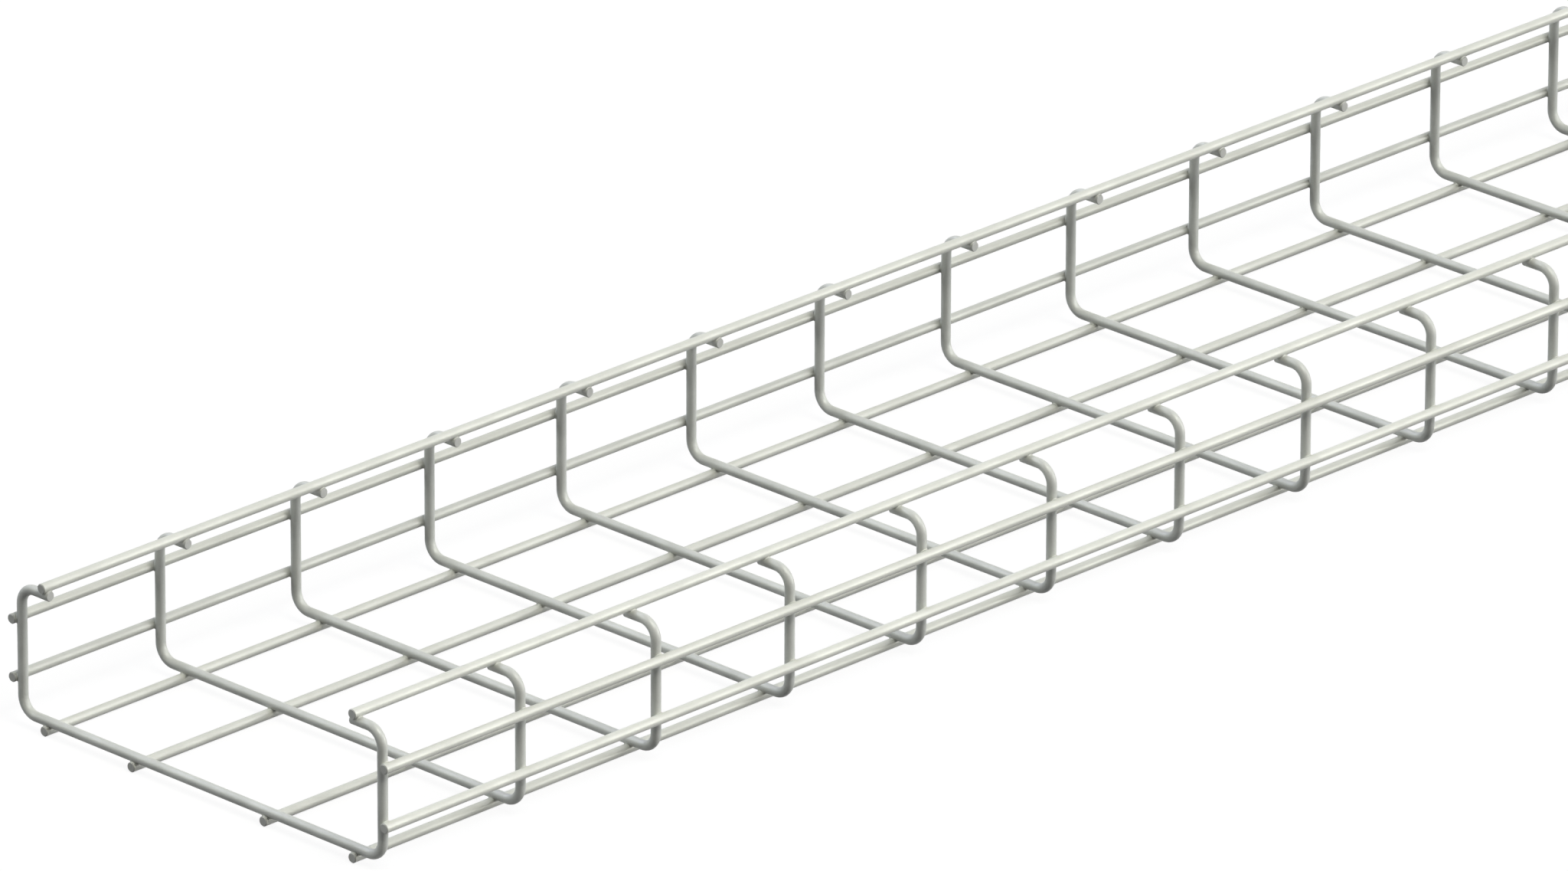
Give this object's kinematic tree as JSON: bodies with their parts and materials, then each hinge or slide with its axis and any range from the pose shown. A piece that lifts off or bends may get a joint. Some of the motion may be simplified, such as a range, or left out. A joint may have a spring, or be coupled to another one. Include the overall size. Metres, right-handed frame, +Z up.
{
  "type": "wire mesh cable basket",
  "caption": "Straight length of open wire mesh cable basket: bent cross wires with inward flanges, welded to long wires under the bottom, outside the sides and on the flanges.",
  "frame": {"origin": "on the floor under the middle of the basket", "axes": "+X along the basket, +Y across it towards the left side, +Z up"},
  "size_m": [3, 0.2152, 0.0652],
  "materials": {
    "cross_wire_zinc": "satin zinc-coated steel wire",
    "long_wire_zinc": "satin zinc-coated steel wire"
  },
  "bodies": {
    "root": {"cross_wire_01": "cross_wire_zinc", "cross_wire_02": "cross_wire_zinc", "cross_wire_03": "cross_wire_zinc", "cross_wire_04": "cross_wire_zinc", "cross_wire_05": "cross_wire_zinc", "cross_wire_06": "cross_wire_zinc", "cross_wire_07": "cross_wire_zinc", "cross_wire_08": "cross_wire_zinc", "cross_wire_09": "cross_wire_zinc", "cross_wire_10": "cross_wire_zinc", "cross_wire_11": "cross_wire_zinc", "cross_wire_12": "cross_wire_zinc", "cross_wire_13": "cross_wire_zinc", "cross_wire_14": "cross_wire_zinc", "cross_wire_15": "cross_wire_zinc", "cross_wire_16": "cross_wire_zinc", "cross_wire_17": "cross_wire_zinc", "cross_wire_18": "cross_wire_zinc", "cross_wire_19": "cross_wire_zinc", "cross_wire_20": "cross_wire_zinc", "cross_wire_21": "cross_wire_zinc", "cross_wire_22": "cross_wire_zinc", "cross_wire_23": "cross_wire_zinc", "cross_wire_24": "cross_wire_zinc", "cross_wire_25": "cross_wire_zinc", "cross_wire_26": "cross_wire_zinc", "cross_wire_27": "cross_wire_zinc", "cross_wire_28": "cross_wire_zinc", "cross_wire_29": "cross_wire_zinc", "cross_wire_30": "cross_wire_zinc", "cross_wire_31": "cross_wire_zinc", "cross_wire_32": "cross_wire_zinc", "cross_wire_33": "cross_wire_zinc", "cross_wire_34": "cross_wire_zinc", "cross_wire_35": "cross_wire_zinc", "cross_wire_36": "cross_wire_zinc", "cross_wire_37": "cross_wire_zinc", "cross_wire_38": "cross_wire_zinc", "cross_wire_39": "cross_wire_zinc", "cross_wire_40": "cross_wire_zinc", "cross_wire_41": "cross_wire_zinc", "bottom_wire_1": "long_wire_zinc", "bottom_wire_2": "long_wire_zinc", "bottom_wire_3": "long_wire_zinc", "bottom_wire_4": "long_wire_zinc", "left_side_wire_lower": "long_wire_zinc", "left_side_wire_upper": "long_wire_zinc", "right_side_wire_lower": "long_wire_zinc", "right_side_wire_upper": "long_wire_zinc", "left_top_wire": "long_wire_zinc", "right_top_wire": "long_wire_zinc"}
  },
  "joints": []
}
